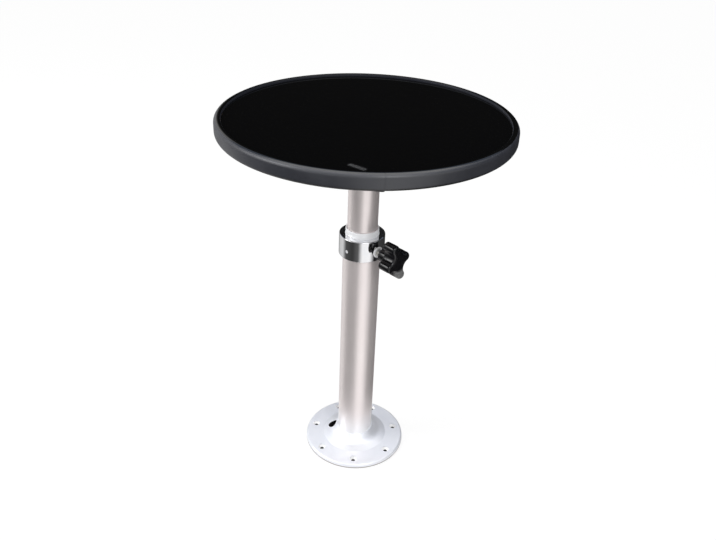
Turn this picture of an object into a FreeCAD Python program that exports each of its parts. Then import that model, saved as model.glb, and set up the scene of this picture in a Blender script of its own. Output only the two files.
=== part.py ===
import FreeCAD, Part
import math
import os
from FreeCAD import Vector

# Round pedestal table with a telescoping leg, held at its height by a clamp knob.
# Millimetres. The origin is on the leg's axis at floor level, +Z is up, and the knob points along +X.
# Every turned piece is given as a half section of (radius, height, corner rounding) points.

UP = Vector(0, 0, 1)
ORIGIN = Vector(0, 0, 0)
full_turn = 360.0
quarter_turn = 90.0
same_point = 1e-6       # points nearer than this are one point
hexagon_sides = 6
cross_arm_count = 4

# General fits and finish
running_clearance = 0.05    # radial play of every turning or sliding fit
slip_clearance = 0.1        # radial play of a piece that is slid on and then locked
edge_break = 0.5            # small rounding on machined edges
end_gap = 0.3               # axial gap each side of the floating guide ring
overshoot = 5.0             # how far a cutting tool passes the face that it cuts

# Leg tubes
outer_tube_radius = 30.0
outer_tube_wall = 2.5
outer_tube_length = 406.0
inner_tube_radius = 24.0
inner_tube_wall = 2.0
inner_tube_length = 400.0
exposed_length = 121.5      # inner tube that shows between the clamp collar and the table bracket

# Base flange: a flat disc with a low flared hub that holds the outer tube
base_radius = 87.5
base_edge_height = 7.7
base_edge_round = 3.5
hub_foot_radius = 56.5
hub_foot_height = 10.2      # height of the crease between the sloping disc and the hub
hub_waist_radius = 40.5
hub_waist_height = 16.0
hub_flare_round = 30.0
hub_height = 27.0
hub_lip_width = 1.6
socket_floor_height = 6.0
relief_radius = 46.0        # shallow recess under the base
relief_depth = 2.5
base_hole_count = 7
base_hole_circle = 145.0    # diameter of the circle through the floor screws
base_hole_radius = 3.25
base_countersink_radius = 6.25
base_countersink_drop = 1.8 # straight part above the countersink's cone
first_base_hole_angle = -45.0
base_set_screw_radius = 5.0
base_set_screw_length = 8.0
base_set_screw_socket = 5.0
base_set_screw_height = 7.8
base_set_screw_tilt = 43.0
base_set_screw_angle = -144.5
base_pocket_radius = 8.4    # counterbore that the set screw is sunk in
base_pocket_seat = 8.5      # from the screw's point to the counterbore's floor

# Clamp collar over the top of the outer tube
collar_radius = 36.5
collar_height = 35.0
collar_top_wall = 6.0
collar_edge_round = 1.2
neck_wall = 2.1
neck_height = 10.0
neck_clearance = 0.3
collar_screw_radius = 2.5
collar_screw_socket = 2.5
collar_screw_recess = 0.5
collar_screw_count = 3
first_collar_screw_angle = -84.0

# Nylon guides between the tubes
bush_length = 70.0
bush_lip_thickness = 2.0
guide_ring_length = 25.0

# Lower end of the inner tube
plug_flange_thickness = 3.0
plug_flange_radius = 26.4
plug_depth = 20.0
plug_wall = 3.0
stop_ring_thickness = 1.5
stop_ring_radius = 26.4
stop_groove_depth = 0.8
stop_ring_gap_angle = 40.0

# Clamp: pressure pad, threaded stud, boss and hand knob, all on one axis along +X
clamp_drop = 20.8           # clamp axis below the collar's top face
pad_radius = 6.0
pad_length = 6.5
nose_radius = 3.0
nose_length = 3.0
stud_radius = 5.0
thread_pitch = 1.5
thread_depth = 0.8
thread_length = 12.0
pad_travel_room = 3.6       # how far the pad can draw back into the boss
boss_radius = 9.0
boss_thread_length = 3.2
boss_edge_round = 0.8
knob_gap = 9.2              # bare stud between boss and knob at rest
knob_neck_radius = 11.0
knob_neck_length = 14.0
knob_depth = 23.4
knob_long_radius = 32.3     # from the knob's axis to the tip of a long lobe
knob_short_radius = 24.7    # to the tip of a short lobe
knob_lobe_round = 7.7
knob_flute_round = 11.2
knob_lobe_angle = 17.0
knob_front_round = 4.6
knob_back_round = 1.5
stud_head_radius = 8.0
stud_head_thickness = 5.0
stud_grip_length = 20.0     # stud that is held inside the knob, head included

# Bracket under the table top
bracket_radius = 75.0
bracket_plate = 5.0
bracket_floor = 4.0
bracket_depth = 38.0
bracket_hub_radius = 30.5
bracket_root_radius = 34.0
bracket_root_round = 8.0
bracket_screw_circle = 124.0
bracket_screw_count = 6
bracket_screw_head_radius = 4.5
bracket_screw_radius = 2.25
bracket_screw_length = 16.0
bracket_screw_point = 3.0
bracket_cross_arm = 2.4     # from the screw's axis to the end of an arm
bracket_cross_width = 1.2
bracket_cross_depth = 1.6
bracket_set_radius = 3.0
bracket_set_socket = 3.0
bracket_set_height = 14.0   # above the bracket's lower face
bracket_set_count = 2
bracket_set_angle = 0.0

# Table top
board_radius = 209.5
core_thickness = 16.4
laminate_thickness = 0.8
laminate_edge_gap = 0.4
band_width = 10.5
band_height = 24.0
band_proud = 4.0            # band above the table's surface
band_outer_round = 6.5
band_inner_round = 3.0
tongue_length = 11.0
tongue_thickness = 3.0
barb_height = 0.5
barb_pitch = 4.0
barb_count = 2
slot_end_room = 1.0

# Places that follow from the sizes above
outer_tube_bore = outer_tube_radius - outer_tube_wall
outer_tube_top = socket_floor_height + outer_tube_length
collar_ceiling = outer_tube_top + bush_lip_thickness
collar_top = collar_ceiling + collar_top_wall
collar_bottom = collar_top - collar_height
neck_bore = inner_tube_radius + neck_clearance
neck_top = collar_top + neck_height
bush_bottom = outer_tube_top - bush_length
bush_bore = inner_tube_radius + running_clearance
clamp_height = collar_top - clamp_drop
pad_back = inner_tube_radius + pad_length
boss_seat = pad_back + pad_travel_room
boss_face = boss_seat + boss_thread_length
knob_back = boss_face + knob_gap
knob_lobes_back = knob_back + knob_neck_length
stud_end = knob_back + stud_grip_length
bracket_bottom = neck_top + exposed_length
board_bottom = bracket_bottom + bracket_depth
core_bottom = board_bottom + laminate_thickness
core_top = core_bottom + core_thickness
board_top = core_top + laminate_thickness
band_top = board_top + band_proud
band_bottom = band_top - band_height
slot_height = (core_bottom + core_top) / 2
inner_tube_top = board_bottom - bracket_floor
inner_tube_bottom = inner_tube_top - inner_tube_length
guide_ring_bottom = inner_tube_bottom + end_gap
guide_ring_top = guide_ring_bottom + guide_ring_length
stop_ring_bottom = guide_ring_top + end_gap
stop_ring_top = stop_ring_bottom + stop_ring_thickness


def section(corners):
    """Flat half section in the X-Z plane; each corner is (radius, height) or (radius, height, rounding)."""
    points = [Vector(corner[0], 0, corner[1]) for corner in corners]
    starts, ends, middles = [], [], []
    for index, point in enumerate(points):
        to_last = points[index - 1] - point
        to_next = points[(index + 1) % len(points)] - point
        rounding = sum(corners[index][2:])
        half_angle = to_last.getAngle(to_next) / 2
        # A rounding takes at most half of the shorter side beside it.
        setback = min(rounding / math.tan(half_angle), to_last.Length / 2, to_next.Length / 2)
        radius = setback * math.tan(half_angle)
        inward = (to_last.normalize() + to_next.normalize()).normalize()
        arc_middle = point + inward * (radius / math.sin(half_angle) - radius)
        starts.append(point + to_last * setback)
        ends.append(point + to_next * setback)
        middles.append(arc_middle if rounding else None)
    edges = []
    for index, middle in enumerate(middles):
        if middle:
            edges.append(Part.Arc(starts[index], middle, ends[index]).toShape())
        next_start = starts[(index + 1) % len(points)]
        if not ends[index].isEqual(next_start, same_point):
            edges.append(Part.makeLine(ends[index], next_start))
    return Part.Face(Part.Wire(edges))


def turned(corners):
    """Solid of revolution about the Z axis."""
    return section(corners).revolve(ORIGIN, UP, full_turn)


def ring(inner_radius, outer_radius, bottom, top, rounding=0):
    """Plain tube or ring about the Z axis with its four edges rounded alike."""
    return turned([
        (inner_radius, bottom, rounding),
        (outer_radius, bottom, rounding),
        (outer_radius, top, rounding),
        (inner_radius, top, rounding),
    ])


def disc(radius, bottom, top):
    """Plain round plate or rod about the Z axis."""
    return Part.makeCylinder(radius, top - bottom, Vector(0, 0, bottom))


def pointed_out(shape, height, angle, start_radius=0, tilt=0):
    """Take a shape built along +Z and point it out from the leg at a height, angle and upward tilt."""
    placed = shape.copy()
    placed.rotate(ORIGIN, Vector(0, 1, 0), quarter_turn - tilt)
    placed.translate(Vector(start_radius, 0, height))
    placed.rotate(ORIGIN, UP, angle)
    return placed


def around(shape, count, first_angle=0):
    """Equal copies of a shape about the Z axis."""
    copies = []
    for index in range(count):
        one = shape.copy()
        one.rotate(ORIGIN, UP, first_angle + index * full_turn / count)
        copies.append(one)
    return copies


def hexagon(across_flats, bottom, top):
    """Six-sided prism about the Z axis."""
    pitch_angle = 2 * math.pi / hexagon_sides
    corner_radius = across_flats / 2 / math.cos(pitch_angle / 2)
    corners = []
    for index in range(hexagon_sides + 1):
        angle = index * pitch_angle
        corners.append(Vector(corner_radius * math.cos(angle), corner_radius * math.sin(angle), bottom))
    return Part.Face(Part.makePolygon(corners)).extrude(UP * (top - bottom))


def set_screw_blank(radius, length):
    """Headless screw along +Z with a cone point at the origin, before its key socket is cut."""
    return turned([(0, 0), (radius, radius), (radius, length, edge_break), (0, length)])


def set_screw(radius, length, socket):
    """Headless screw with a hexagon key socket in its outer end."""
    blank = set_screw_blank(radius, length)
    return blank.cut(hexagon(socket, length / 2, length + overshoot))


def countersunk_screw(with_cross):
    """Wood screw along +Z, its head's flat face at the origin, with or without the cross recess."""
    head_height = bracket_screw_head_radius - bracket_screw_radius
    screw = turned([
        (0, 0),
        (bracket_screw_head_radius, 0),
        (bracket_screw_radius, head_height),
        (bracket_screw_radius, bracket_screw_length - bracket_screw_point),
        (0, bracket_screw_length),
    ])
    if with_cross:
        arm = Part.makeBox(bracket_cross_arm, bracket_cross_width, bracket_cross_depth)
        arm.translate(Vector(0, -bracket_cross_width / 2, 0))
        screw = screw.cut(around(arm, cross_arm_count))
    return screw


def bracket_screw_places(with_cross):
    """The bracket's wood screws, each in its countersink."""
    screw = countersunk_screw(with_cross)
    screw.translate(Vector(bracket_screw_circle / 2, 0, board_bottom - bracket_plate))
    return around(screw, bracket_screw_count)


def base_set_screw_shape(screw):
    """Put a screw shape where the base's tilted set screw goes, its point on the outer tube."""
    return pointed_out(screw, base_set_screw_height, base_set_screw_angle,
                       outer_tube_radius, base_set_screw_tilt)


def collar_screw_places(screw):
    """Put a screw shape where each of the collar's set screws goes, its point on the outer tube."""
    first = pointed_out(screw, clamp_height, 0, outer_tube_radius)
    return around(first, collar_screw_count, first_collar_screw_angle)


def collar_screw_length():
    """The collar's set screws end just under the collar's surface."""
    return collar_radius - collar_screw_recess - outer_tube_radius


def stud_envelope():
    """Outside of the stud along the clamp axis, with no thread, as the knob is moulded around it."""
    return turned([
        (0, pad_back),
        (stud_radius, pad_back),
        (stud_radius, stud_end - stud_head_thickness),
        (stud_head_radius, stud_end - stud_head_thickness),
        (stud_head_radius, stud_end),
        (0, stud_end),
    ])


def base_flange():
    """Cast base: disc, low flared hub, blind socket for the tube, floor screw holes, set screw hole."""
    body = turned([
        (0, relief_depth),
        (relief_radius, relief_depth),
        (relief_radius, 0),
        (base_radius, 0, edge_break),
        (base_radius, base_edge_height, base_edge_round),
        (hub_foot_radius, hub_foot_height, edge_break),
        (hub_waist_radius, hub_waist_height, hub_flare_round),
        (outer_tube_radius + hub_lip_width, hub_height, edge_break),
        (outer_tube_radius, hub_height),
        (outer_tube_radius, socket_floor_height),
        (0, socket_floor_height),
    ])
    cone_height = base_countersink_radius - base_hole_radius
    cone_top = (base_edge_height + hub_foot_height) / 2 - base_countersink_drop
    hole = turned([
        (0, -overshoot),
        (base_hole_radius, -overshoot),
        (base_hole_radius, cone_top - cone_height),
        (base_countersink_radius, cone_top),
        (base_countersink_radius, hub_foot_height + overshoot),
        (0, hub_foot_height + overshoot),
    ])
    hole.translate(Vector(base_hole_circle / 2, 0, 0))
    drill = set_screw_blank(base_set_screw_radius, base_radius)
    pocket = disc(base_pocket_radius, base_pocket_seat, base_radius)
    screw_cuts = [base_set_screw_shape(drill), base_set_screw_shape(pocket)]
    return body.cut(around(hole, base_hole_count, first_base_hole_angle) + screw_cuts)


def base_set_screw():
    """Screw that locks the outer tube in the base, sunk in its hole."""
    screw = set_screw(base_set_screw_radius, base_set_screw_length, base_set_screw_socket)
    return base_set_screw_shape(screw)


def outer_tube():
    """Fixed tube, with a side hole near its top for the pressure pad."""
    tube = ring(outer_tube_bore, outer_tube_radius, socket_floor_height, outer_tube_top)
    window = disc(pad_radius + slip_clearance, 0, boss_seat)
    return tube.cut(pointed_out(window, clamp_height, 0))


def clamp_collar():
    """Cap over the tube's top: side wall, top wall and a short neck around the inner tube."""
    neck_radius = neck_bore + neck_wall
    body = turned([
        (outer_tube_radius + slip_clearance, collar_bottom),
        (collar_radius, collar_bottom, edge_break),
        (collar_radius, collar_top, collar_edge_round),
        (neck_radius, collar_top, edge_break),
        (neck_radius, neck_top, edge_break),
        (neck_bore, neck_top, edge_break),
        (neck_bore, collar_ceiling),
        (outer_tube_radius + slip_clearance, collar_ceiling),
    ])
    boss_hole = pointed_out(disc(boss_radius, 0, collar_radius + overshoot), clamp_height, 0)
    return body.cut([boss_hole] + collar_screw_places(set_screw_blank(collar_screw_radius, collar_radius)))


def collar_set_screws():
    """Screws that hold the collar on the outer tube."""
    screw = set_screw(collar_screw_radius, collar_screw_length(), collar_screw_socket)
    return Part.makeCompound(collar_screw_places(screw))


def stud_boss():
    """Threaded bush in the collar's side; its wider inner end leaves room for the pad to draw back."""
    boss_start = outer_tube_radius + edge_break
    boss = turned([
        (pad_radius + slip_clearance, boss_start),
        (boss_radius, boss_start),
        (boss_radius, boss_face, boss_edge_round),
        (stud_radius + running_clearance, boss_face, edge_break),
        (stud_radius + running_clearance, boss_seat),
        (pad_radius + slip_clearance, boss_seat),
    ])
    return pointed_out(boss, clamp_height, 0)


def guide_bush():
    """Nylon sleeve in the top of the outer tube; its lip is caught between tube and collar."""
    bush = turned([
        (bush_bore, bush_bottom, edge_break),
        (outer_tube_bore, bush_bottom, edge_break),
        (outer_tube_bore, outer_tube_top),
        (outer_tube_radius, outer_tube_top),
        (outer_tube_radius, collar_ceiling),
        (bush_bore, collar_ceiling),
    ])
    window = disc(pad_radius + slip_clearance, 0, boss_seat)
    return bush.cut(pointed_out(window, clamp_height, 0))


def lower_guide_ring():
    """Nylon ring that floats on the inner tube's lower end and slides in the outer tube."""
    inner_radius = inner_tube_radius + running_clearance
    outer_radius = outer_tube_bore - running_clearance
    return ring(inner_radius, outer_radius, guide_ring_bottom, guide_ring_top, edge_break)


def inner_tube():
    """Sliding tube, with a groove for the stop ring."""
    tube = ring(inner_tube_radius - inner_tube_wall, inner_tube_radius, inner_tube_bottom, inner_tube_top)
    groove_radius = inner_tube_radius - stop_groove_depth
    groove = ring(groove_radius, inner_tube_radius + overshoot, stop_ring_bottom, stop_ring_top)
    return tube.cut(groove)


def inner_tube_plug():
    """Hollow plug pressed into the inner tube's lower end; its flange carries the guide ring."""
    spigot_radius = inner_tube_radius - inner_tube_wall
    return turned([
        (0, inner_tube_bottom - plug_flange_thickness),
        (plug_flange_radius, inner_tube_bottom - plug_flange_thickness, edge_break),
        (plug_flange_radius, inner_tube_bottom, edge_break),
        (spigot_radius, inner_tube_bottom),
        (spigot_radius, inner_tube_bottom + plug_depth, edge_break),
        (spigot_radius - plug_wall, inner_tube_bottom + plug_depth),
        (spigot_radius - plug_wall, inner_tube_bottom),
        (0, inner_tube_bottom),
    ])


def stop_ring():
    """Open snap ring in the inner tube's groove; it meets the bush when the leg is fully out."""
    groove_radius = inner_tube_radius - stop_groove_depth
    closed_ring = ring(groove_radius, stop_ring_radius, stop_ring_bottom, stop_ring_top)
    gap_tool = Part.makeCylinder(stop_ring_radius + overshoot, stop_ring_thickness,
                                 Vector(0, 0, stop_ring_bottom), UP, stop_ring_gap_angle)
    return closed_ring.cut(gap_tool)


def pressure_pad():
    """Nylon slug that the stud presses against the inner tube; its face is hollowed to fit the tube."""
    nose_hole = disc(nose_radius + running_clearance, pad_back - nose_length, pad_back + overshoot)
    pad = turned([(0, 0), (pad_radius, 0), (pad_radius, pad_back, edge_break), (0, pad_back)]).cut(nose_hole)
    tube_space = disc(inner_tube_radius + running_clearance, 0, outer_tube_top)
    return pointed_out(pad, clamp_height, 0).cut(tube_space)


def knob_stud():
    """Threaded stud, with a nose that turns in the pad and a head that the knob is moulded around."""
    nose_start = pad_back - nose_length + running_clearance
    thread_start = pad_back + running_clearance
    outline = [(0, nose_start), (nose_radius, nose_start), (nose_radius, thread_start)]
    for index in range(round(thread_length / thread_pitch)):
        root_height = thread_start + index * thread_pitch
        outline.append((stud_radius - thread_depth, root_height))
        outline.append((stud_radius, root_height + thread_pitch / 2))
    outline += [
        (stud_radius, stud_end - stud_head_thickness),
        (stud_head_radius, stud_end - stud_head_thickness),
        (stud_head_radius, stud_end),
        (0, stud_end),
    ]
    return pointed_out(turned(outline), clamp_height, 0)


def knob_lobes():
    """Lobed grip: two long and two short round lobes, joined by hollow flutes that touch both neighbours."""
    lobe_radii = 2 * (knob_long_radius, knob_short_radius)
    lobes = []
    for index, radius in enumerate(lobe_radii):
        angle = math.radians(knob_lobe_angle + index * quarter_turn)
        outward = Vector(math.cos(angle), math.sin(angle), 0)
        lobes.append((outward * (radius - knob_lobe_round), outward * radius))
    flutes = []
    for index in range(len(lobes)):
        this_centre = lobes[index][0]
        to_next = lobes[(index + 1) % len(lobes)][0] - this_centre
        # Every flute is as far from both lobes' centres as the two rounds are long together.
        reach = math.sqrt((knob_lobe_round + knob_flute_round) ** 2 - (to_next.Length / 2) ** 2)
        outward = to_next.cross(UP).normalize()
        flutes.append(this_centre + to_next / 2 + outward * reach)
    edges = []
    for index, (centre, tip) in enumerate(lobes):
        next_centre = lobes[(index + 1) % len(lobes)][0]
        last_flute, flute = flutes[index - 1], flutes[index]
        start = centre + (last_flute - centre).normalize() * knob_lobe_round
        end = centre + (flute - centre).normalize() * knob_lobe_round
        next_start = next_centre + (flute - next_centre).normalize() * knob_lobe_round
        inward = ((centre + next_centre) / 2 - flute).normalize()
        edges.append(Part.Arc(start, tip, end).toShape())
        edges.append(Part.Arc(end, flute + inward * knob_flute_round, next_start).toShape())
    grip = Part.Face(Part.Wire(edges)).extrude(UP * knob_depth)
    for height, rounding in ((knob_depth, knob_front_round), (0, knob_back_round)):
        rim = [edge for edge in grip.Edges if edge.BoundBox.ZLength < same_point
               and abs(edge.BoundBox.ZMin - height) < same_point]
        grip = grip.makeFillet(rounding, rim)
    grip.translate(UP * knob_lobes_back)
    return grip


def knob_body():
    """Hand knob: lobed grip and neck in one moulding around the stud's head."""
    neck = disc(knob_neck_radius, knob_back, knob_lobes_back + edge_break)
    return pointed_out(knob_lobes().fuse(neck).cut(stud_envelope()), clamp_height, 0)


def table_bracket():
    """Cast bracket under the table top: screw plate and a socket for the inner tube."""
    plate_bottom = board_bottom - bracket_plate
    body = turned([
        (0, board_bottom),
        (0, inner_tube_top),
        (inner_tube_radius, inner_tube_top),
        (inner_tube_radius, bracket_bottom, edge_break),
        (bracket_hub_radius, bracket_bottom, edge_break),
        (bracket_root_radius, plate_bottom, bracket_root_round),
        (bracket_radius, plate_bottom, edge_break),
        (bracket_radius, board_bottom),
    ])
    drill = bracket_set_screw_shape(set_screw_blank(bracket_set_radius, bracket_radius))
    return body.cut(bracket_screw_places(False) + around(drill, bracket_set_count, bracket_set_angle))


def bracket_set_screw_shape(screw):
    """Put a screw shape where the first of the bracket's set screws goes, its point on the inner tube."""
    return pointed_out(screw, bracket_bottom + bracket_set_height, 0, inner_tube_radius)


def bracket_set_screws():
    """Screws that lock the bracket on the inner tube, flush with the hub."""
    screw = set_screw(bracket_set_radius, bracket_hub_radius - inner_tube_radius, bracket_set_socket)
    return Part.makeCompound(around(bracket_set_screw_shape(screw), bracket_set_count, bracket_set_angle))


def bracket_screws():
    """Wood screws through the bracket into the board."""
    return Part.makeCompound(bracket_screw_places(True))


def backing_laminate():
    """Thin sheet under the board, with the wood screws' holes."""
    return disc(board_radius, board_bottom, core_bottom).cut(bracket_screw_places(False))


def core_board():
    """Round board with a slot around its edge for the band's tongue and pilot holes for the screws."""
    slot_half = tongue_thickness / 2 + barb_height
    slot = ring(board_radius - tongue_length - slot_end_room, board_radius + overshoot,
                slot_height - slot_half, slot_height + slot_half)
    return disc(board_radius, core_bottom, core_top).cut([slot] + bracket_screw_places(False))


def top_laminate():
    """Glossy sheet on the board, a little smaller than it, which leaves a fine groove at the band."""
    return disc(board_radius - laminate_edge_gap, core_top, board_top)


def edge_band():
    """Rubber edge band: rounded outside, proud of the table's surface, with a barbed tongue."""
    tongue_half = tongue_thickness / 2
    barb_half = tongue_half + barb_height
    tongue_tip = board_radius - tongue_length
    upper, lower = [], []
    for index in range(barb_count):
        barb_foot = tongue_tip + index * barb_pitch
        for outline, side in ((upper, 1), (lower, -1)):
            outline.append((barb_foot, slot_height + side * tongue_half))
            outline.append((barb_foot + barb_pitch / 2, slot_height + side * barb_half))
            outline.append((barb_foot + barb_pitch / 2, slot_height + side * tongue_half))
    return turned(
        [(board_radius, slot_height - tongue_half), (board_radius, band_bottom, edge_break),
         (board_radius + band_width, band_bottom, band_outer_round),
         (board_radius + band_width, band_top, band_outer_round),
         (board_radius, band_top, band_inner_round), (board_radius, slot_height + tongue_half)]
        + upper[::-1] + lower)


NODES = (
    base_flange, base_set_screw, outer_tube, clamp_collar, collar_set_screws, stud_boss, guide_bush,
    lower_guide_ring, inner_tube, inner_tube_plug, stop_ring,
    pressure_pad, knob_stud, knob_body,
    table_bracket, bracket_set_screws, bracket_screws,
    backing_laminate, core_board, top_laminate, edge_band,
)

os.makedirs("parts", exist_ok=True)
for make_node in NODES:
    shape = make_node()
    shape.exportStep("parts/" + make_node.__name__ + ".step")
    volume = round(shape.Volume)
    print(make_node.__name__, "solids", len(shape.Solids), "volume", volume, "valid", shape.isValid())
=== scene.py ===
# %% [markdown]
# # A pedestal table with a telescoping leg
# The table is a round, glossy black top with a thick rubber band around its edge. It stands on two
# aluminium tubes, one sliding in the other, which a chromed collar and a hand knob hold at any height.
# A cast aluminium flange screws the leg to a floor. The solids come ready made and exact, in metres, with
# +Z up and the clamp knob along +X. This lesson gives them their finishes, remodels the few pieces whose
# surface the solids only outline, and sets up a small studio around them.

# %% Load the solids
import math

import bpy
import numpy as np
from mathutils import Matrix, Vector


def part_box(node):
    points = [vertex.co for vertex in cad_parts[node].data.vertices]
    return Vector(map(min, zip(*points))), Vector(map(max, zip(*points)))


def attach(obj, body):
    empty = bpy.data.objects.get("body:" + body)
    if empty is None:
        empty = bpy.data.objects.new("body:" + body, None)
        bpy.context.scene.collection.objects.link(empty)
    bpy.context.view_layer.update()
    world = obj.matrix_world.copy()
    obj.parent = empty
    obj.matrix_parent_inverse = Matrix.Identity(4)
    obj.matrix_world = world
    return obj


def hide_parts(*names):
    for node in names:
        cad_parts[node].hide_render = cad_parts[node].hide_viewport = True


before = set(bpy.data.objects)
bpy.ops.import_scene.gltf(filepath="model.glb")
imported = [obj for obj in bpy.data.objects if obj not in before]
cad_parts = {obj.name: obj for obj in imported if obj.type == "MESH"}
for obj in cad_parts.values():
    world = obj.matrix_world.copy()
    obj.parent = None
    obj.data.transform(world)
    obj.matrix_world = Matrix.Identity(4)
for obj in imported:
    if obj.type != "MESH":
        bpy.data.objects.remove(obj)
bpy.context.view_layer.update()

# %% [markdown]
# ## The camera
# The table is seen from just under a metre up and a little over a metre away, looking down on it. The
# camera could be dragged into place by eye, but a few plain numbers say more: how far it stands from the
# leg, how high, where it looks and how it is turned in the hand. The knob points halfway between the
# camera and the camera's right, so the camera stands at 45 degrees to it.

# %% Place the camera
camera_distance = 1.0671
camera_height = 0.9700
camera_pitch = math.radians(30.122)
camera_yaw = math.radians(-0.240)
camera_roll = math.radians(-2.180)
camera_bearing = math.radians(45.0)
focal_pixels = 761.4
image_width = 716
sensor_width = 36.0


def camera_matrix():
    """Camera axes: forward from yaw and pitch, right level with the floor, then both rolled."""
    forward = np.array([math.sin(camera_yaw) * math.cos(camera_pitch),
                        math.cos(camera_yaw) * math.cos(camera_pitch), -math.sin(camera_pitch)])
    level = np.array([math.cos(camera_yaw), -math.sin(camera_yaw), 0.0])
    down = np.cross(forward, level)
    right = math.cos(camera_roll) * level + math.sin(camera_roll) * down
    up = math.sin(camera_roll) * level - math.cos(camera_roll) * down
    place = Matrix.Identity(4)
    for row in range(3):
        place[row][:3] = right[row], up[row], -forward[row]
    place.translation = (0.0, -camera_distance, camera_height)
    return Matrix.Rotation(camera_bearing, 4, "Z") @ place


camera = bpy.data.objects.new("camera", bpy.data.cameras.new("camera"))
bpy.context.scene.collection.objects.link(camera)
camera.data.sensor_fit = "HORIZONTAL"
camera.data.sensor_width = sensor_width
camera.data.lens = focal_pixels / image_width * sensor_width
camera.matrix_world = camera_matrix()
bpy.context.scene.camera = camera
print("camera at", [round(value, 3) for value in camera.location], "lens", round(camera.data.lens, 2))

# %% [markdown]
# ## The studio
# Glossy and metal things show their surroundings more than themselves, so the studio is part of the look.
# A shader tree can be clicked together or written. Written ones stay readable with a few short helpers:
# one adds a node and fills its inputs, the others wrap the sums that come back all the time.

# %% Helpers for shader trees


def add(tree, kind, inputs=None, **settings):
    """New node in a tree. Each input is a number, a colour, or another node's output socket."""
    made = tree.nodes.new(kind)
    for name, value in settings.items():
        setattr(made, name, value)
    for key, value in (inputs or {}).items():
        if isinstance(value, bpy.types.NodeSocket):
            tree.links.new(value, made.inputs[key])
        else:
            made.inputs[key].default_value = value
    return made


def sums(tree, operation, first, second=0.0, third=0.0):
    """Output of a Math node."""
    return add(tree, "ShaderNodeMath", {0: first, 1: second, 2: third}, operation=operation).outputs[0]


def vectors(tree, operation, inputs, result="Vector"):
    """Output of a Vector Math node; the result is called Value where it is a number."""
    return add(tree, "ShaderNodeVectorMath", inputs, operation=operation).outputs[result]


def rise(tree, value, low, high, start=0.0, end=1.0):
    """Smooth change of a value from start to end between low and high."""
    inputs = {"Value": value, "From Min": low, "From Max": high, "To Min": start, "To Max": end}
    return add(tree, "ShaderNodeMapRange", inputs, interpolation_type="SMOOTHSTEP").outputs["Result"]


def blend(tree, share, first, second):
    """Colour that goes from the first to the second as the share goes from 0 to 1."""
    return add(tree, "ShaderNodeMix", {0: share, 6: first, 7: second}, data_type="RGBA").outputs[2]


def grey(light):
    """Colour without a tint."""
    return light, light, light, 1.0


# %% [markdown]
# The world gives even light to everything. Only mirror-like surfaces see what is in the room: dark and
# light stretches of floor, which draw the upright bands on tubes and collar, a dark wall behind the table,
# which keeps the glossy top black, a light wall behind the camera, and a bright ceiling. High on the left
# is a round glow without an edge. It puts the small highlights on the knob's ridges, where a lamp seen in
# the glossy top would be a hard white square. A picture of a room could be wrapped around the scene
# instead, but a band of stops by compass bearing says the same in a few numbers.

# %% The world
floor_stops = (
    (-180, 0.66), (-157, 0.72), (-127, 0.08), (-92, 0.05), (-65, 0.11), (-37, 1.08),
    (-6, 1.12), (23, 0.05), (140, 0.03), (160, 0.45), (180, 0.66),
)       # bearing in degrees, light
wall_stops = (
    (-180, 0.75), (-120, 0.85), (-60, 0.9), (20, 0.9), (45, 0.05), (70, 0.012), (147, 0.012),
    (164, 0.70), (180, 0.75),
)
ceiling_low = (0.30, 0.35, 0.46, 1.0)
ceiling_high = grey(1.95)
even_light = 0.72
floor_line = 3.0        # degrees above the horizon where the floor gives way to the wall
wall_line = 29.0        # where the wall gives way to the ceiling
ceiling_line = 34.0
overhead_start, overhead_full = 44.0, 55.0      # where the ceiling brightens to its full light
glow_bearing, glow_height = np.radians((-122.0, 31.0))
glow_edge, glow_core = 20.0, 8.0                # degrees from the glow's middle
glow_light = grey(6.0)


def bearing_band(tree, share, stops):
    """Light by compass bearing, from stops of degrees and light."""
    band = add(tree, "ShaderNodeValToRGB", {0: share})
    band.color_ramp.interpolation = "EASE"
    elements = band.color_ramp.elements
    elements.remove(elements[-1])
    for index, (degrees, light) in enumerate(stops):
        place = (degrees + 180.0) / 360.0
        stop = elements[0] if index == 0 else elements.new(place)
        stop.position = place
        stop.color = grey(light)
    return band.outputs[0]


def make_world():
    """Even light for all, the room for mirror rays, and plain white for the camera."""
    world = bpy.data.worlds.new("studio")
    world.use_nodes = True
    tree = world.node_tree
    tree.nodes.clear()
    way = add(tree, "ShaderNodeTexCoord").outputs["Generated"]
    axes = add(tree, "ShaderNodeSeparateXYZ", {0: way})
    bearing = sums(tree, "ARCTAN2", axes.outputs["Y"], axes.outputs["X"])
    share = sums(tree, "MULTIPLY_ADD", bearing, 0.5 / math.pi, 0.5)
    low = math.sin(math.radians(floor_line))
    to_wall = rise(tree, axes.outputs["Z"], -low, low)
    to_ceiling = rise(tree, axes.outputs["Z"], *np.sin(np.radians((wall_line, ceiling_line))))
    to_overhead = rise(tree, axes.outputs["Z"], *np.sin(np.radians((overhead_start, overhead_full))))
    floor_light, wall_light = (bearing_band(tree, share, stops) for stops in (floor_stops, wall_stops))
    room = blend(tree, to_wall, floor_light, wall_light)
    room = blend(tree, to_ceiling, room, blend(tree, to_overhead, ceiling_low, ceiling_high))
    flat = math.cos(glow_height)
    glow_way = (flat * math.cos(glow_bearing), flat * math.sin(glow_bearing), math.sin(glow_height))
    nearness = vectors(tree, "DOT_PRODUCT", {0: way, 1: glow_way}, "Value")
    in_glow = rise(tree, nearness, *np.cos(np.radians((glow_edge, glow_core))))
    room = blend(tree, in_glow, room, glow_light)
    ray = add(tree, "ShaderNodeLightPath")
    light = blend(tree, ray.outputs["Is Glossy Ray"], grey(even_light), room)
    light = blend(tree, ray.outputs["Is Camera Ray"], light, grey(1.0))
    glow = add(tree, "ShaderNodeBackground", {"Color": light})
    add(tree, "ShaderNodeOutputWorld", {"Surface": glow.outputs[0]})
    return world


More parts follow.
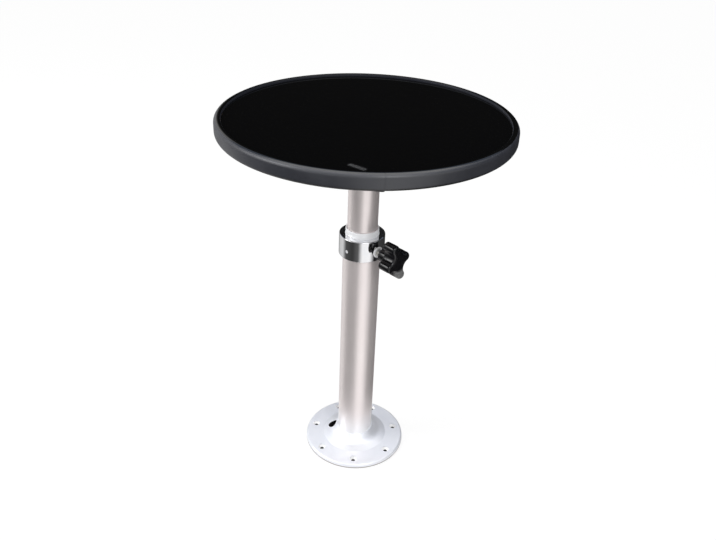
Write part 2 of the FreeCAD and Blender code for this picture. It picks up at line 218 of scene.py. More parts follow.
bpy.context.scene.world = make_world()
bpy.context.scene.view_settings.view_transform = "Standard"
print("world bands", len(floor_stops), "and", len(wall_stops), "stops")

# %% [markdown]
# The floor is a plain white board, a disc large enough to fill every view, and it takes the soft shadow of
# the table. Seen by the camera it also glows a little, which keeps it white without more light on the
# table. Not under the base, though: what shows through the screw holes is in the dark. Metal near the
# floor mirrors the bright board around it, and further out the room's floor shows instead. From below the
# board is clear, so the table's underside can be looked at too.

# %% The floor
floor_radius = 8.0
floor_corners = 96
floor_drop = 0.0002     # keeps the board off the base's bottom face
floor_white = grey(0.92)
floor_glow = 0.72       # share of the glow in what the camera sees
floor_glow_light = 1.10
mirror_floor_radius, mirror_floor_end = 0.095, 0.1425       # the board leaves the mirrors between these
base_shade_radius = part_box("base_flange")[1][0]
base_shade_start = 0.9 * base_shade_radius


def make_floor_paint():
    """White paint, see-through to mirror rays that land far from the table."""
    material = bpy.data.materials.new("white_board")
    material.use_nodes = True
    tree = material.node_tree
    tree.nodes.clear()
    place = add(tree, "ShaderNodeTexCoord").outputs["Object"]
    radius = vectors(tree, "LENGTH", {0: place}, "Value")
    paint = add(tree, "ShaderNodeBsdfDiffuse", {"Color": floor_white})
    glow = add(tree, "ShaderNodeEmission", {"Color": grey(1.0), "Strength": floor_glow_light})
    ray = add(tree, "ShaderNodeLightPath")
    around_base = rise(tree, radius, base_shade_start, base_shade_radius, 0.0, floor_glow)
    share = sums(tree, "MULTIPLY", ray.outputs["Is Camera Ray"], around_base)
    seen = add(tree, "ShaderNodeMixShader", {0: share, 1: paint.outputs[0], 2: glow.outputs[0]})
    far = rise(tree, radius, mirror_floor_radius, mirror_floor_end)
    from_below = add(tree, "ShaderNodeNewGeometry").outputs["Backfacing"]
    gone = sums(tree, "MAXIMUM", sums(tree, "MULTIPLY", ray.outputs["Is Glossy Ray"], far), from_below)
    clear = add(tree, "ShaderNodeBsdfTransparent")
    board = add(tree, "ShaderNodeMixShader", {0: gone, 1: seen.outputs[0], 2: clear.outputs[0]})
    add(tree, "ShaderNodeOutputMaterial", {"Surface": board.outputs[0]})
    return material


def make_floor():
    """Flat disc at floor level: one ring of points around a single face."""
    turn = np.linspace(0, 2 * math.pi, floor_corners, endpoint=False)
    points = floor_radius * np.column_stack([np.cos(turn), np.sin(turn), 0 * turn])
    points[:, 2] -= floor_drop
    mesh = bpy.data.meshes.new("studio_floor")
    mesh.from_pydata(points.tolist(), [], [list(range(len(turn)))])
    mesh.materials.append(make_floor_paint())
    floor = bpy.data.objects.new("studio_floor", mesh)
    bpy.context.scene.collection.objects.link(floor)
    return floor


floor = make_floor()
print("floor", round(floor.dimensions.x, 2), "m across")

# %% [markdown]
# Two large soft lamps shape the table: the key from the camera's left, and a weaker one from its right.
# Small lamps would draw hard spots on the black top, and a sun would throw a hard shadow. Mirrors don't
# show the key, because the room's round glow stands in for it there.

# %% The lamps
lamp_aim = Vector((0.0, 0.0, 0.4))


def add_lamp(name, place, size, watts):
    """Square soft lamp at a place, facing the middle of the leg."""
    lamp = bpy.data.objects.new(name, bpy.data.lights.new(name, "AREA"))
    bpy.context.scene.collection.objects.link(lamp)
    lamp.data.shape = "SQUARE"
    lamp.data.size = size
    lamp.data.energy = watts
    lamp.location = place
    lamp.rotation_euler = (lamp_aim - Vector(place)).to_track_quat("-Z", "Y").to_euler()
    return lamp


key_lamp = add_lamp("key_lamp", (-1.2, -1.9, 1.5), 1.2, 24)
key_lamp.visible_glossy = False
side_lamp = add_lamp("side_lamp", (1.8, -0.8, 1.8), 1.0, 12)
print("lamps", [(lamp.name, lamp.data.energy, "W") for lamp in (key_lamp, side_lamp)])

# %% [markdown]
# ## Remodelled pieces
# Three pieces carry more shape than their solids: the moulded knob, its threaded stud, and the rubber
# band with its joint. Each is one closed surface over a grid: rows of points run along the piece and
# columns run around it. Boxes and cylinders joined by hand would give the outline too, but not the even
# roundings, and a formula over a grid can be changed later by one number.

# %% Helpers for surfaces
sharp_edge = math.radians(38.0)


def closed_surface(name, rows, body, slot, start, end):
    """Mesh over a grid of points, rows by columns, that closes around the columns.

    The first row closes on the point start and the last row on the point end, each with a fan of
    triangles. A sixth of the sum of every triangle's triple product is the volume inside, and it is
    negative where the faces point inwards.
    """
    count, columns = rows.shape[:2]
    side = np.arange(columns)
    beside = (side + 1) % columns
    here = columns * np.arange(count - 1)[:, None]
    after = here + columns
    quads = np.stack([here + side, here + beside, after + beside, after + side], axis=-1).reshape(-1, 4)
    points = np.vstack([rows.reshape(-1, 3), start, end])
    first, last = len(points) - 2, len(points) - 1
    last_row = (count - 1) * columns
    triangles = np.vstack([np.column_stack([np.full(columns, first), beside, side]),
                           np.column_stack([np.full(columns, last), last_row + side, last_row + beside])])
    corners = np.vstack([triangles, quads[:, [0, 1, 2]], quads[:, [0, 2, 3]]])
    a, b, c = (points[corners[:, index]] for index in range(3))
    volume = np.einsum("ij,ij->", a, np.cross(b, c)) / 6
    if volume < 0:
        quads, triangles = quads[:, ::-1], triangles[:, ::-1]
    mesh = bpy.data.meshes.new(name)
    mesh.from_pydata(points.tolist(), [], quads.tolist() + triangles.tolist())
    mesh.polygons.foreach_set("use_smooth", np.ones(len(mesh.polygons), dtype=bool))
    mesh.set_sharp_from_angle(angle=sharp_edge)
    piece = bpy.data.objects.new(name, mesh)
    bpy.context.scene.collection.objects.link(piece)
    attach(piece, body)
    print(name, len(mesh.polygons), "faces", round(abs(volume) * 1e6, 2), "cm3")
    return piece


# %% [markdown]
# ## The hand knob
# The knob is pressed from black phenolic powder around the head of its stud. Seen from the front it is a
# cross of two long and two short lobes, which give fingers a hold from any side. Its faces meet in soft
# roundings, the front is a little crowned with a shallow dish in the middle, and a fine raised line runs
# around it where the two halves of the mould met. Eight arcs make the outline: each lobe is a circle, and
# each flute is a circle that touches two lobes. An outline inside this one is the same arcs with the
# lobes' circles smaller and the flutes' circles larger, so one formula serves every rounding.

# %% The knob's outline
knob_low, knob_high = (np.array(corner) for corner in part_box("knob_body"))
stud_low, stud_high = (np.array(corner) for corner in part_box("knob_stud"))
clamp_height = 0.5 * (stud_low[2] + stud_high[2])
knob_long_radius = 0.0323
knob_short_radius = 0.0247
knob_lobe_round = 0.0077
knob_flute_round = 0.0112
knob_turn = math.radians(17.0)
arc_steps = 20


def knob_outline():
    """Points of the knob's outline about its axis, and the outward direction at each.

    Lobe centres lie on four axes, a round short of each tip. A flute's centre is on the bisector of two
    lobes' centres, a lobe round plus a flute round away from both.
    """
    axes = knob_turn + 0.5 * math.pi * np.arange(4)
    reach = np.tile([knob_long_radius, knob_short_radius], 2) - knob_lobe_round
    lobes = reach[:, None] * np.column_stack([np.cos(axes), np.sin(axes)])
    step = np.roll(lobes, -1, axis=0) - lobes
    half = 0.5 * np.linalg.norm(step, axis=1, keepdims=True)
    outward = np.column_stack([step[:, 1], -step[:, 0]]) / (2 * half)
    flutes = lobes + 0.5 * step + outward * np.sqrt((knob_lobe_round + knob_flute_round) ** 2 - half ** 2)
    share = np.linspace(0, 1, arc_steps, endpoint=False)[None, :]

    def arc(centres, start, end, radius, side):
        """Points on a circle between two directions, anticlockwise where side is 1, and the way out."""
        low = np.arctan2(start[:, 1], start[:, 0])
        swing = np.arctan2(end[:, 1], end[:, 0]) - low
        swing = side * np.mod(side * swing, 2 * math.pi)
        turn = low[:, None] + swing[:, None] * share
        way = np.stack([np.cos(turn), np.sin(turn)], axis=-1)
        return centres[:, None] + radius * way, side * way

    last_flutes, next_lobes = np.roll(flutes, 1, axis=0), np.roll(lobes, -1, axis=0)
    lobe_points, lobe_ways = arc(lobes, last_flutes - lobes, flutes - lobes, knob_lobe_round, 1)
    flute_points, flute_ways = arc(flutes, lobes - flutes, next_lobes - flutes, knob_flute_round, -1)
    points = np.concatenate([lobe_points, flute_points], axis=1).reshape(-1, 2)
    ways = np.concatenate([lobe_ways, flute_ways], axis=1).reshape(-1, 2)
    return points, ways


outline, outline_ways = knob_outline()
print("knob outline", len(outline), "points, reach", round(np.linalg.norm(outline, axis=1).max(), 4))

# %% [markdown]
# The knob's surface is that outline carried from the middle of the front face to the end of the neck. In
# every row the outline is drawn in by some amount, scaled towards the axis, and faded into a circle, which
# it has to be at the neck. Taking the faces and roundings one after another keeps each one simple.

# %% The knob's surface
knob_crown = 0.0009
knob_front_round = 0.0046
knob_back_round = 0.0015
knob_neck_radius = 0.0110
knob_neck_length = 0.0140
knob_neck_root = 0.0025
knob_end_round = 0.0008
dish_radius = 0.0085
dish_depth = 0.0006
mould_line_height = 0.0001
mould_line_width = 0.0003
knob_parting = 0.0075       # from the lobes' back to the mould line
face_rows, round_rows, back_rows = 26, 11, 10


def smooth_step(value, low, high):
    """Cubic rise from 0 to 1 between low and high."""
    share = np.clip((value - low) / (high - low), 0, 1)
    return share * share * (3 - 2 * share)


def knob_rows():
    """Rows of (distance along the axis, inset, scale, share of circle, circle radius)."""
    front, lobes_back = knob_high[0], knob_low[0] + knob_neck_length
    brim = front - knob_crown
    face = [(front - knob_crown * share ** 2, knob_front_round + mould_line_height, share, 1 - share,
             knob_short_radius) for share in np.linspace(0.04, 0.97, face_rows)]
    turn = np.linspace(0, 0.5 * math.pi, round_rows)
    shoulder = [(brim - knob_front_round * (1 - math.cos(angle)),
                 mould_line_height + knob_front_round * (1 - math.sin(angle)), 1, 0, 1) for angle in turn]
    parting = lobes_back + knob_parting
    offsets = np.array([2.0, 1.0, 0.4, -0.4, -1.0, -2.0]) * mould_line_width
    lifts = np.array([1.0, 1.0, 0.0, 0.0, 1.0, 1.0]) * mould_line_height
    side = [(parting + offset, lift, 1, 0, 1) for offset, lift in zip(offsets, lifts)]
    heel = [(lobes_back + knob_back_round * (1 - math.sin(angle)),
             mould_line_height + knob_back_round * (1 - math.cos(angle)), 1, 0, 1) for angle in turn[::2]]
    back_inset = mould_line_height + knob_back_round
    back = [(lobes_back, back_inset, 1, share, knob_neck_radius + knob_neck_root)
            for share in np.linspace(0.1, 1, back_rows)]
    root = [(lobes_back - knob_neck_root * math.sin(angle), 0, 1, 1,
             knob_neck_radius + knob_neck_root * (1 - math.sin(angle))) for angle in turn[2::2]]
    end = knob_low[0]
    lip = [(end + knob_end_round * (1 - math.sin(angle)), 0, 1, 1,
            knob_neck_radius - knob_end_round * (1 - math.cos(angle))) for angle in turn[::2]]
    bore = [(end, 0, 1, 1, 0.5 * (stud_high[1] - stud_low[1]) * share) for share in (0.62, 0.3)]
    return np.array(face + shoulder + side + heel + back + root + lip + bore)


def make_knob():
    """The knob: each row is scale x ((1 - circle share) x inset outline + circle share x circle)."""
    along, inset, scale, circle, radius = knob_rows().T[:, :, None]
    inner = outline[None] - inset[..., None] * outline_ways[None]
    ring = outline / np.linalg.norm(outline, axis=1, keepdims=True)
    flat = scale[..., None] * ((1 - circle[..., None]) * inner + (circle * radius)[..., None] * ring[None])
    in_dish = 1 - smooth_step(np.linalg.norm(flat, axis=2), 0.8 * dish_radius, dish_radius)
    dished = (along > knob_high[0] - 2 * knob_crown) * dish_depth * in_dish
    rows = np.stack([along - dished, flat[..., 1], clamp_height - flat[..., 0]], axis=-1)
    ends = [(place, 0, clamp_height) for place in (knob_high[0] - dish_depth, knob_low[0])]
    return closed_surface("hand_knob", rows, "clamp_knob", "knob_plastic", *ends)


hand_knob = make_knob()
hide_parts("knob_body")

# %% [markdown]
# ## The threaded stud
# The stud is a turned steel pin with a rolled thread. A thread could be a Screw modifier on a tooth
# profile, but its ends then need trimming. Here it is a height over the pin's own surface: the distance
# along the pin, less the turn around it, tells where in the pitch a point lies, and the thread fades out
# at both ends as a rolled one does.

# %% The stud's surface
stud_radius = 0.005
stud_nose_radius = 0.003
stud_nose_length = 0.003
stud_head_thickness = 0.005
stud_bevel, stud_start_bevel = 0.0004, 0.0006
stud_bevel_length = 0.0003
thread_pitch = 0.0015
thread_depth = 0.0008
thread_length = 0.022
thread_rows = 12            # in each turn of the thread
crest_slope, crest_cut = 1.5, 0.2       # flatten the crests and roots of the thread's wave
stud_columns = 48


def make_stud():
    """Pin with a helical thread.

    Thread height is a flattened triangle wave of (distance / pitch - turn / full circle), times a fade of
    one pitch at each end.
    """
    start, end = stud_low[0], stud_high[0]
    shoulder = start + stud_nose_length
    head = end - stud_head_thickness
    head_radius = stud_high[1]
    thread = np.arange(0, thread_length + thread_pitch, thread_pitch / thread_rows)
    along = np.concatenate([[start, start + stud_bevel_length, shoulder, shoulder],
                            shoulder + stud_bevel_length + thread, [head, head, end, end]])
    nose = [stud_nose_radius - stud_bevel, stud_nose_radius, stud_nose_radius,
            stud_radius - stud_start_bevel]
    grip = [stud_radius, head_radius, head_radius, head_radius - stud_bevel]
    body = np.concatenate([nose, np.full(len(thread), stud_radius), grip])
    turn = np.linspace(0, 2 * math.pi, stud_columns, endpoint=False)
    place = along[:, None] - shoulder
    wave = np.abs(2 * np.mod(place / thread_pitch - turn[None] / (2 * math.pi), 1) - 1)
    groove = thread_depth * (1 - np.clip(crest_slope * wave - crest_cut, 0, 1))
    fade = smooth_step(place, 0, thread_pitch)
    fade *= smooth_step(-place, -thread_length, thread_pitch - thread_length)
    radius = body[:, None] - groove * fade
    across, upward = radius * np.cos(turn), clamp_height + radius * np.sin(turn)
    rows = np.stack([along[:, None] + 0 * radius, across, upward], axis=-1)
    ends = [(place, 0, clamp_height) for place in (start, end)]
    return closed_surface("threaded_stud", rows, "clamp_knob", "steel", *ends)


threaded_stud = make_stud()
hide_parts("knob_stud")

# %% [markdown]
# ## The rubber band
# The band is an extruded rubber strip, pressed into a slot in the board's edge all around and cut to
# length where its ends meet. Real bands never lie quite true: the inner lip wanders a little, the ends
# show as a fine cut, and beside the cut the lower edge has come down by about a millimetre. A Bezier
# circle with a bevel profile would draw a perfect ring, but neither the cut nor the wander, so the
# profile is carried around the table in steps, from one end of the strip to the other. The profile is
# drawn first: each of its corners says how far it is rounded, and those of the barbs stay sharp.

# %% Outlines with rounded corners


def rounded_outline(corners, steps):
    """Points of an outline from (x, y, rounding) corners; a corner without a rounding stays sharp.

    Each rounding is an arc that touches both sides. Its centre lies on the corner's bisector, at the
    rounding divided by the sine of half the corner's angle.
    """
    corners = np.array([(*corner, 0.0)[:3] for corner in corners])
    spots, radii = corners[:, :2], corners[:, 2:]
    back = np.roll(spots, 1, axis=0) - spots
    ahead = np.roll(spots, -1, axis=0) - spots
    back /= np.linalg.norm(back, axis=1, keepdims=True)
    ahead /= np.linalg.norm(ahead, axis=1, keepdims=True)
    half = 0.5 * np.arccos(np.clip(np.sum(back * ahead, axis=1, keepdims=True), -1, 1))
    middle = (back + ahead) / np.linalg.norm(back + ahead, axis=1, keepdims=True)
    centre = spots + middle * radii / np.sin(half)
    start = spots + back * radii / np.tan(half) - centre
    end = spots + ahead * radii / np.tan(half) - centre
    share = np.linspace(0, 1, steps)[None, :, None]
    swing = (math.pi - 2 * half)[:, None, :]
    weights = np.sin((1 - share) * swing) * start[:, None] + np.sin(share * swing) * end[:, None]
    arcs = centre[:, None] + weights / np.sin(swing)
    corners = zip(arcs, radii[:, 0], spots)
    return np.vstack([arc if radius > 0 else spot[None] for arc, radius, spot in corners])


# %% [markdown]
# The strip's sizes come from three places. The solids give its outline and the board that it is pressed
# on, the tongue and its barbs repeat what the solid has in the slot, and the rest is how rubber behaves:
# how round its cut ends are, how far one of them droops and how much the inner lip wanders.

# %% The band's surface
band_low, band_high = (np.array(corner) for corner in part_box("edge_band"))
board_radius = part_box("core_board")[1][0]
board_low, board_high = (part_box("core_board")[index][2] for index in (0, 1))
slot_height = 0.5 * (board_low + board_high)
band_outer_round = 0.0065
band_inner_round = 0.003
band_corner_round = 0.0005
tongue_length = 0.011
tongue_thickness = 0.003
barb_height = 0.0005
barb_pitch = 0.004
barb_steps = ((0, 0), (0.5, 1), (0.6, 0), (1, 0), (1.5, 1), (1.6, 0))   # pitches from the tip, 1 at a barb
joint_bearing = math.radians(-38.4)
joint_gap = 0.00006
joint_round = 0.00015
droop_length = 0.016
droop_depth = 0.0013
wander = 0.00025
wander_waves = ((5, 0.7, 1.0), (11, 2.0, 0.6), (23, 0.0, 0.4))      # times around, phase, share
band_arc_steps = 9
band_rows = 420


def band_profile():
    """Closed outline of the strip in (radius, height); the tongue's upper side mirrors its lower one."""
    half = 0.5 * tongue_thickness
    tip = board_radius - tongue_length
    tongue = [(tip + pitches * barb_pitch, slot_height - half - barb * barb_height)
              for pitches, barb in barb_steps]
    above = [(radius, 2 * slot_height - height) for radius, height in reversed(tongue)]
    corners = tongue + [
        (board_radius, slot_height - half),
        (board_radius, band_low[2], band_corner_round),
        (band_high[0], band_low[2], band_outer_round),
        (band_high[0], band_high[2], band_outer_round),
        (board_radius, band_high[2], band_inner_round),
        (board_radius, slot_height + half)] + above
    return rounded_outline(corners, band_arc_steps)


def make_band():
    """The profile carried around the table.

    A point is the profile's centre plus (1 - inset) x its offset from that centre, turned by the distance
    along the strip over the radius. The inset is a quarter circle at both ends. The lower part then comes
    down by the droop, and the inner part moves in by the wander less a sum of three slow waves.
    """
    profile = band_profile()
    centre = np.array([0.5 * (board_radius + band_high[0]), slot_height])
    length = 2 * math.pi * band_high[0] - joint_gap
    ends = np.array([0, 0.06, 0.2, 0.45, 0.75, 1.0]) * joint_round
    middle = np.linspace(joint_round, length - joint_round, band_rows)[1:-1]
    along = np.concatenate([ends, middle, length - ends[::-1]])
    turn = joint_bearing + (0.5 * joint_gap + along) / band_high[0]
    edge = np.clip(1 - np.minimum(along, length - along) / joint_round, 0, 1)
    inset = joint_round * (1 - np.sqrt(1 - edge ** 2)) / np.linalg.norm(profile - centre, axis=1).mean()
    rows = centre + (profile - centre)[None] * (1 - inset)[:, None, None]
    low_part = smooth_step(-rows[..., 1], -slot_height, -band_low[2])
    inner_part = smooth_step(rows[..., 1], slot_height, band_high[2]) * smooth_step(
        -rows[..., 0], -centre[0], -board_radius)
    droop = droop_depth * smooth_step(along, length - droop_length, length - 0.2 * droop_length)
    sway = wander * sum(share * np.sin(times * turn + phase) for times, phase, share in wander_waves) / 2
    rows[..., 1] -= low_part * droop[:, None]
    rows[..., 0] += inner_part * (sway - wander)[:, None]
    radius, height = rows[..., 0], rows[..., 1]
    points = np.stack([radius * np.cos(turn)[:, None], radius * np.sin(turn)[:, None], height], axis=-1)
    caps = [(centre[0] * math.cos(end), centre[0] * math.sin(end), centre[1]) for end in turn[[0, -1]]]
    return closed_surface("rubber_band", points, "table", "edge_rubber", *caps)


rubber_band = make_band()
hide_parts("edge_band")

# %% [markdown]
# ## Finishes
# The solids are right but bare, so every piece gets a finish, and no finish is one flat colour: metal has
# the marks of how it was made and handled, rubber has a bloom, plastic has a trace of flow. An image
# texture would need unwrapped surfaces and a picture. Noise on Object coordinates needs neither, it is
# the same size everywhere on the piece because the coordinates are metres, and it goes along when the
# piece moves.

# %% Helpers for finishes


def new_finish(name, metallic, specular=0.5):
    """Material with a Principled shader; returns the material, its tree and the shader."""
    material = bpy.data.materials.new(name)
    material.use_nodes = True
    tree = material.node_tree
    tree.nodes.clear()
    shader = add(tree, "ShaderNodeBsdfPrincipled", {"Metallic": metallic, "Specular IOR Level": specular})
    add(tree, "ShaderNodeOutputMaterial", {"Surface": shader.outputs[0]})
    return material, tree, shader


def place_of(tree, stretch=(1.0, 1.0, 1.0)):
    """Object coordinates in metres. A stretch under 1 draws a pattern out long that way."""
    place = add(tree, "ShaderNodeTexCoord").outputs["Object"]
    return add(tree, "ShaderNodeMapping", {"Vector": place, "Scale": stretch}).outputs[0]


def height_of(tree):
    """Height above the floor."""
    return add(tree, "ShaderNodeSeparateXYZ", {0: place_of(tree)}).outputs["Z"]


def radius_of(tree):
    """Distance from the leg's axis."""
    return vectors(tree, "LENGTH", {0: place_of(tree, (1, 1, 0))}, "Value")


def cloud(tree, size, stretch=(1.0, 1.0, 1.0), detail=2.0):
    """Noise from 0 to 1 in patches about as large as the size, in metres."""
    inputs = {"Vector": place_of(tree, stretch), "Scale": 1.0 / size, "Detail": detail}
    return add(tree, "ShaderNodeTexNoise", inputs).outputs[0]


def streaky(tree, size):
    """Patchy share, from 0.4 where it is thin to 1."""
    return rise(tree, cloud(tree, size, detail=4.0), 0.2, 0.6, 0.4, 1.0)


def specks(tree, spacing, share):
    """Dots: 1 at the middle of each cell of a loose lattice, 0 beyond the share of its spacing."""
    cells = add(tree, "ShaderNodeTexVoronoi", {"Vector": place_of(tree), "Scale": 1.0 / spacing})
    return rise(tree, cells.outputs["Distance"], 0.6 * share, share, 1.0, 0.0)


def relief(tree, height, depth, under=None):
    """Surface lifted by a pattern of the given depth in metres, on top of another relief."""
    inputs = {"Height": height, "Distance": depth, "Strength": 1.0}
    if under is not None:
        inputs["Normal"] = under
    return add(tree, "ShaderNodeBump", inputs).outputs[0]


def wire(tree, shader, color, roughness, normal):
    """Join patterns to the shader's inputs."""
    for name, value in (("Base Color", color), ("Roughness", roughness), ("Normal", normal)):
        tree.links.new(value, shader.inputs[name])


def tell(*materials):
    """Print what each finish is made of."""
    for material in materials:
        print(material.name, len(material.node_tree.nodes), "shader nodes")


# %% [markdown]
# The tubes are drawn aluminium, anodised clear: a satin metal with a breath of pink. Near the base the
# colour is painted white, a painted reflection of the bright flange. Drawing leaves fine lines along the
# tube, and sliding leaves faint rings where the guide rubs. A lower roughness would make a mirror of them,
# and a higher one would lose the upright bands of light that tell a tube from a bar.

# %% Satin tube
tube_dark, tube_light = (0.89, 0.815, 0.805, 1), (0.94, 0.87, 0.86, 1)
# Below these heights the tube's colour is painted white: a painted reflection of the bright flange.
tube_painted_reflection_low, tube_painted_reflection_high = 0.012, 0.085    # heights between which the pink comes in
tube_rough = (0.36, 0.46)
ring_rough = 0.05
line_depth, ring_depth = 0.000012, 0.000008


def make_satin_tube():
    """Lines along the leg and rings around it, in roughness and relief; painted white at the foot as a
    painted reflection.
    """
    material, tree, shader = new_finish("satin_tube", 0.72)
    lines = cloud(tree, 0.0011, (1, 1, 0.012), 3.0)
    rings = cloud(tree, 0.0030, (0.05, 0.05, 1), 3.0)
    color = blend(tree, cloud(tree, 0.035), tube_dark, tube_light)
    # Painted reflection: white near the foot, where the bright flange would show in the metal.
    color = blend(tree, rise(tree, height_of(tree), tube_painted_reflection_low, tube_painted_reflection_high), grey(1.0), color)
    rough = rise(tree, lines, 0.25, 0.75, *tube_rough)
    rough = sums(tree, "ADD", rough, rise(tree, rings, 0.55, 0.75, 0.0, ring_rough))
    wire(tree, shader, color, rough, relief(tree, rings, ring_depth, relief(tree, lines, line_depth)))
    return material


satin_tube = make_satin_tube()
tell(satin_tube)

# %% [markdown]
# The flange is cast aluminium, tumbled and lightly polished. Its skin is bright but soft, with the
# shallow unevenness that casting leaves. The countersinks were cut afterwards; they are less metallic and
# painted white, partly their fresh cut and partly a painted highlight. The drilled holes and the pocket of
# the set screw are painted dark inside, painted shade, and a fine line along the foot is painted darker
# too, a painted contact shadow. Each of these could be a material of its own on its own faces, but the
# faces are the solid's and stay as they are, so height and distance from the axis find them.

# %% The flange's holes
# The numbers below place painted shade in the screw holes and in the set screw's pocket.
hole_shade_low, hole_shade_high = 0.0003, 0.0045        # heights between which a hole is dark
hole_ring_inner, hole_ring_outer, hole_fade = 0.066, 0.079, 0.001
sink_top, sink_fade = 0.0076, 0.0003    # the countersinks lie below this height
pocket_bearing, pocket_tilt = math.radians(-144.5), math.radians(43.0)
pocket_out, pocket_height, pocket_radius = 0.030, 0.0078, 0.0084
pocket_fade = 0.0001, 0.0004        # past the pocket's wall


def pocket_shade(tree):
    """Painted shade, 1 inside the set screw's pocket: the distance to its axis is the length of a cross
    product.
    """
    level = math.cos(pocket_bearing), math.sin(pocket_bearing)
    start = (pocket_out * level[0], pocket_out * level[1], pocket_height)
    axis = (math.cos(pocket_tilt) * level[0], math.cos(pocket_tilt) * level[1], math.sin(pocket_tilt))
    from_start = vectors(tree, "SUBTRACT", {0: place_of(tree), 1: start})
    off = vectors(tree, "LENGTH", {0: vectors(tree, "CROSS_PRODUCT", {0: from_start, 1: axis})}, "Value")
    fade_start, fade_end = (pocket_radius + fade for fade in pocket_fade)
    return rise(tree, off, fade_start, fade_end, 1.0, 0.0)


def hole_ring(tree, radius):
    """1 between the two circles that hold every floor screw's hole."""
    outside = rise(tree, radius, hole_ring_inner - hole_fade, hole_ring_inner)
    inside = rise(tree, radius, hole_ring_outer, hole_ring_outer + hole_fade, 1.0, 0.0)
    return sums(tree, "MULTIPLY", inside, outside)


print("holes from", hole_ring_inner, "to", hole_ring_outer, "m, pocket", pocket_radius, "m")

# %% Cast flange
skin_dark, skin_light = (0.88, 0.90, 0.96, 1), (0.94, 0.95, 0.99, 1)
# Painted shade: a grey-brown line along the foot for the contact shadow, near black inside the holes and
# pocket.
foot_painted_shadow, hole_painted_shade = (0.36, 0.33, 0.31, 1), grey(0.006)
foot_low, foot_high = 0.0016, 0.0024    # heights between which the skin comes in
flange_rough = (0.42, 0.50)
flange_metallic, sink_metallic = 0.55, 0.05


def make_cast_flange():
    """Orange-peel relief of two sizes; painted white below the top of the countersinks, painted shade below
    their cones and along the foot.
    """
    material, tree, shader = new_finish("cast_flange", flange_metallic)
    peel, skin = cloud(tree, 0.006), cloud(tree, 0.0009, detail=4.0)
    height, in_ring = height_of(tree), hole_ring(tree, radius_of(tree))
    above = rise(tree, height, 0.5 * hole_shade_low, hole_shade_low)
    below = rise(tree, height, hole_shade_high - hole_fade, hole_shade_high, 1.0, 0.0)
    hole = sums(tree, "MULTIPLY", sums(tree, "MULTIPLY", above, below), in_ring)
    shade = sums(tree, "MAXIMUM", hole, pocket_shade(tree))
    sunk = sums(tree, "MULTIPLY", rise(tree, height, sink_top - sink_fade, sink_top, 1.0, 0.0), in_ring)
    metallic = sums(tree, "MULTIPLY_ADD", sunk, sink_metallic - flange_metallic, flange_metallic)
    tree.links.new(metallic, shader.inputs["Metallic"])
    color = blend(tree, cloud(tree, 0.03), skin_dark, skin_light)
    # Countersinks painted white, partly their fresh cut and partly a painted highlight.
    color = blend(tree, sunk, color, grey(1.0))
    # Painted contact shadow: the colour goes grey-brown just above the floor.
    color = blend(tree, rise(tree, height, foot_low, foot_high), foot_painted_shadow, color)
    color = blend(tree, shade, color, hole_painted_shade)
    rough = sums(tree, "MAXIMUM", rise(tree, peel, 0.3, 0.7, *flange_rough), shade)
    wire(tree, shader, color, rough, relief(tree, skin, 0.00001, relief(tree, peel, 0.00006)))
    return material


cast_flange = make_cast_flange()
tell(cast_flange)

# %% [markdown]
# Collar and neck are chromed. Chrome is a mirror, so all its looks are in what it mirrors and in how true
# the surface under it is: a slow waviness bends the dark band a little, and fine wiping marks dull it.
# The neck was turned more coarsely before it was chromed, so it is satin. Its colour is painted nearly
# white with little metal left, a painted reflection.

# %% Chrome
chrome_dark, chrome_light = (0.76, 0.77, 0.80, 1), (0.84, 0.83, 0.83, 1)
chrome_rough = (0.04, 0.14)
neck_radius, neck_fade = 0.0264, (0.0002, 0.0012)       # satin up to the radius, chrome past the fade
# The neck's near-white colour with little metal is a painted reflection.
neck_painted_reflection, neck_rough, neck_metallic = (0.97, 0.98, 1.0, 1), 0.34, 0.15


def make_chrome():
    """Slow waves a few hundredths of a millimetre deep, wiping marks in the roughness, a satin neck painted
    white as a painted reflection.
    """
    material, tree, shader = new_finish("collar_chrome", 1.0)
    waves, marks = cloud(tree, 0.009, detail=1.0), cloud(tree, 0.0012, (1, 1, 0.15), 4.0)
    satin_end, chrome_start = (neck_radius + fade for fade in neck_fade)
    satin = rise(tree, radius_of(tree), satin_end, chrome_start, 1.0, 0.0)
    color = blend(tree, cloud(tree, 0.008), chrome_dark, chrome_light)
    # Painted reflection: the neck turns nearly white.
    color = blend(tree, satin, color, neck_painted_reflection)
    rough = sums(tree, "MULTIPLY_ADD", satin, neck_rough, rise(tree, marks, 0.35, 0.75, *chrome_rough))
    metallic = sums(tree, "MULTIPLY_ADD", satin, neck_metallic - 1.0, 1.0)
    tree.links.new(metallic, shader.inputs["Metallic"])
    wire(tree, shader, color, rough, relief(tree, waves, 0.00004))
    return material


collar_chrome = make_chrome()
tell(collar_chrome)

# %% [markdown]
# Small steel parts come in three finishes. Stud, snap ring and wood screws are zinc plated: grey, a little
# yellow, cloudy. The set screws of base and bracket are blackened, and the base's is seen as a dark spot in
# its pocket. The boss and the collar's screws are plated with dull nickel, paler than the chrome around
# them.

# %% Plated and blackened steel


def make_plated(name, dark, light, rough, grain, metallic=1.0):
    """Cloudy plating between two colours and two roughnesses over a fine grain."""
    material, tree, shader = new_finish(name, metallic)
    patches, skin = cloud(tree, 0.003), cloud(tree, grain, detail=4.0)
    wire(tree, shader, blend(tree, patches, dark, light), rise(tree, skin, 0.3, 0.7, *rough),
         relief(tree, skin, 0.000008))
    return material


